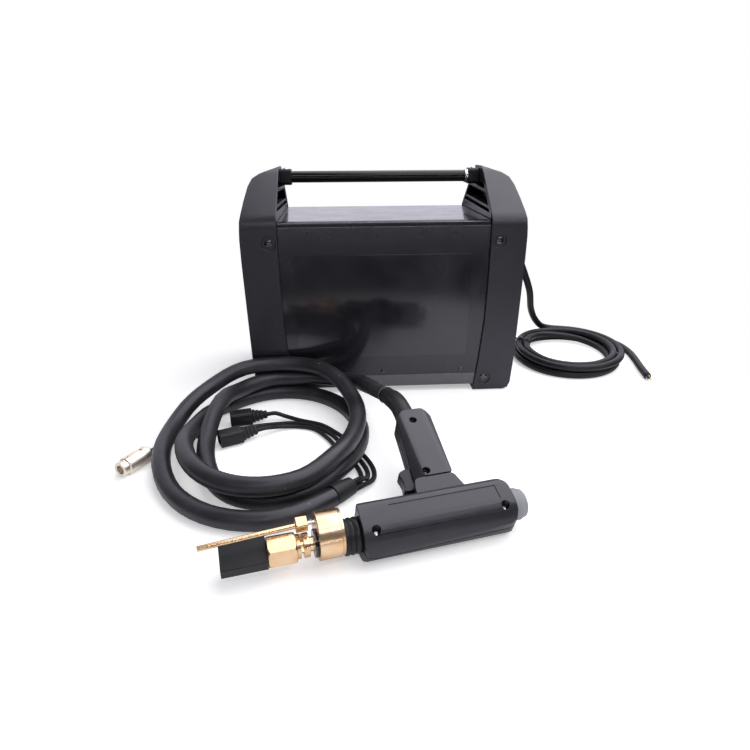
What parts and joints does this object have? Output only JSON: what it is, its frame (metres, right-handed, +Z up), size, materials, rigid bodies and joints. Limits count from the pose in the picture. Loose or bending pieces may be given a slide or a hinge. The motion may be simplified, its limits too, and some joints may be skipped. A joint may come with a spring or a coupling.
{
  "type": "dent pulling spot welder",
  "caption": "Portable spot welder for pulling dents: a boxed power unit with a carrying handle, and a pull gun on a thick coiled cable.",
  "frame": {"origin": "on the floor, in the middle of the space that the power unit and the gun take together", "axes": "+Z up; the unit's length along X with its controls at -X; its viewed side and the gun at -Y"},
  "size_m": [0.8804, 0.7444, 0.3637],
  "materials": {
    "cap_plastic": "fine-grained moulded ABS, satin black",
    "cover_paint": "gloss black powder coat on bent sheet steel",
    "base_paint": "satin black powder coat",
    "dark_steel": "blackened steel",
    "handle_paint": "gloss black coated tube",
    "collar_plastic": "moulded dark grey nylon",
    "panel_plastic": "textured black panel",
    "knob_plastic": "moulded black knob",
    "display_tint": "dark red tinted window",
    "button_plastic": "polished black plastic",
    "socket_plastic": "glass-filled nylon",
    "board_green": "solder-masked board",
    "fan_plastic": "black fan moulding",
    "gland_rubber": "black rubber",
    "core_steel": "laminated core steel",
    "copper": "enamelled copper winding",
    "capacitor_sleeve": "dark blue sleeve",
    "aluminium": "extruded aluminium",
    "gun_plastic": "fine-grained nylon, charcoal",
    "trigger_plastic": "smooth black nylon",
    "grey_cap": "mid grey plastic",
    "neck_rubber": "black insulating rubber",
    "brass": "machined brass",
    "tip_plastic": "black insulating cover",
    "pin_steel": "bright steel pin",
    "boot_rubber": "moulded rubber boot",
    "cord_rubber": "matte rubber sheath",
    "lead_rubber": "thin rubber lead",
    "plug_plastic": "black moulded plug",
    "plug_metal": "dull nickel-brass plug",
    "mains_rubber": "black rubber mains cord",
    "tie_nylon": "black nylon tie"
  },
  "bodies": {
    "root": {"rear_cap": "cap_plastic", "front_cap": "cap_plastic", "case_cover": "cover_paint", "base_pan": "base_paint", "cap_screw_1": "dark_steel", "cap_screw_2": "dark_steel", "cap_screw_3": "dark_steel", "cap_screw_4": "dark_steel", "handle_bar": "handle_paint", "handle_collar_rear": "collar_plastic", "handle_collar_front": "collar_plastic", "front_panel": "panel_plastic", "display_lens": "display_tint", "gun_socket": "socket_plastic", "earth_socket": "socket_plastic", "control_board": "board_green", "rear_panel": "panel_plastic", "fan_frame": "fan_plastic", "cord_gland": "gland_rubber", "transformer_core": "core_steel", "transformer_winding": "copper", "capacitor_1": "capacitor_sleeve", "capacitor_2": "capacitor_sleeve", "heat_sink": "aluminium", "gun_body_near": "gun_plastic", "gun_body_far": "gun_plastic", "grip_near": "gun_plastic", "grip_far": "gun_plastic", "trigger_switch": "button_plastic", "gun_rear_cap": "grey_cap", "gun_neck": "neck_rubber", "ring_retainer": "dark_steel", "spindle": "brass", "gun_boot": "boot_rubber", "gun_cable_coil": "cord_rubber", "gun_cable_run": "cord_rubber", "cable_breakout": "boot_rubber", "control_lead_1": "lead_rubber", "control_lead_2": "lead_rubber", "brass_lead": "lead_rubber", "control_plug_1": "plug_plastic", "control_plug_2": "plug_plastic", "brass_plug": "plug_metal", "mains_coil": "mains_rubber", "mains_run": "mains_rubber", "mains_tail": "mains_rubber", "mains_tie": "tie_nylon"},
    "current_knob": {"current_knob": "knob_plastic"},
    "time_knob": {"time_knob": "knob_plastic"},
    "mode_button": {"mode_button": "button_plastic"},
    "power_switch": {"power_switch": "button_plastic"},
    "fan_rotor": {"fan_rotor": "fan_plastic"},
    "trigger": {"trigger": "trigger_plastic"},
    "clamp_ring": {"clamp_ring": "brass"},
    "rod_clamp": {"rod_clamp": "brass", "guide_pin": "pin_steel", "earth_rod": "brass"},
    "collet_nut": {"collet_nut": "brass"},
    "tip_block": {"tip_block": "tip_plastic"}
  },
  "joints": [
    {"name": "current_knob_turn", "type": "hinge", "parent": "root", "child": "current_knob", "pos_m": [-0.2127, 0.20165, 0.235], "axis": [-1, 0, 0], "range_deg": [-135, 135]},
    {"name": "time_knob_turn", "type": "hinge", "parent": "root", "child": "time_knob", "pos_m": [-0.2127, 0.26165, 0.235], "axis": [-1, 0, 0], "range_deg": [-135, 135]},
    {"name": "mode_button_press", "type": "slide", "parent": "root", "child": "mode_button", "axis": [1, 0, 0], "range_m": [0, 0.0015], "stiffness_N_per_m": 600},
    {"name": "power_switch_rock", "type": "hinge", "parent": "root", "child": "power_switch", "pos_m": [0.2027, 0.17365, 0.214], "axis": [0, 1, 0], "range_deg": [0, 16]},
    {"name": "fan_spin", "type": "hinge", "parent": "root", "child": "fan_rotor", "pos_m": [0.193, 0.23165, 0.112], "axis": [1, 0, 0], "continuous": true},
    {"name": "trigger_pull", "type": "slide", "parent": "root", "child": "trigger", "axis": [0.9728, 0.2317, 0], "range_m": [0, 0.006], "stiffness_N_per_m": 500},
    {"name": "clamp_ring_turn", "type": "hinge", "parent": "root", "child": "clamp_ring", "pos_m": [0.024, -0.28335, 0.02605], "axis": [0.9728, 0.2317, 0], "range_deg": [-85, 85]},
    {"name": "rod_clamp_spring", "type": "slide", "parent": "clamp_ring", "child": "rod_clamp", "axis": [0.9728, 0.2317, 0], "range_m": [0, 0.004], "stiffness_N_per_m": 800},
    {"name": "collet_nut_turn", "type": "hinge", "parent": "root", "child": "collet_nut", "pos_m": [0.024, -0.28335, 0.02605], "axis": [0.9728, 0.2317, 0], "continuous": true},
    {"name": "tip_block_pull", "type": "slide", "parent": "root", "child": "tip_block", "axis": [-0.9728, -0.2317, 0], "range_m": [0, 0.035]}
  ]
}
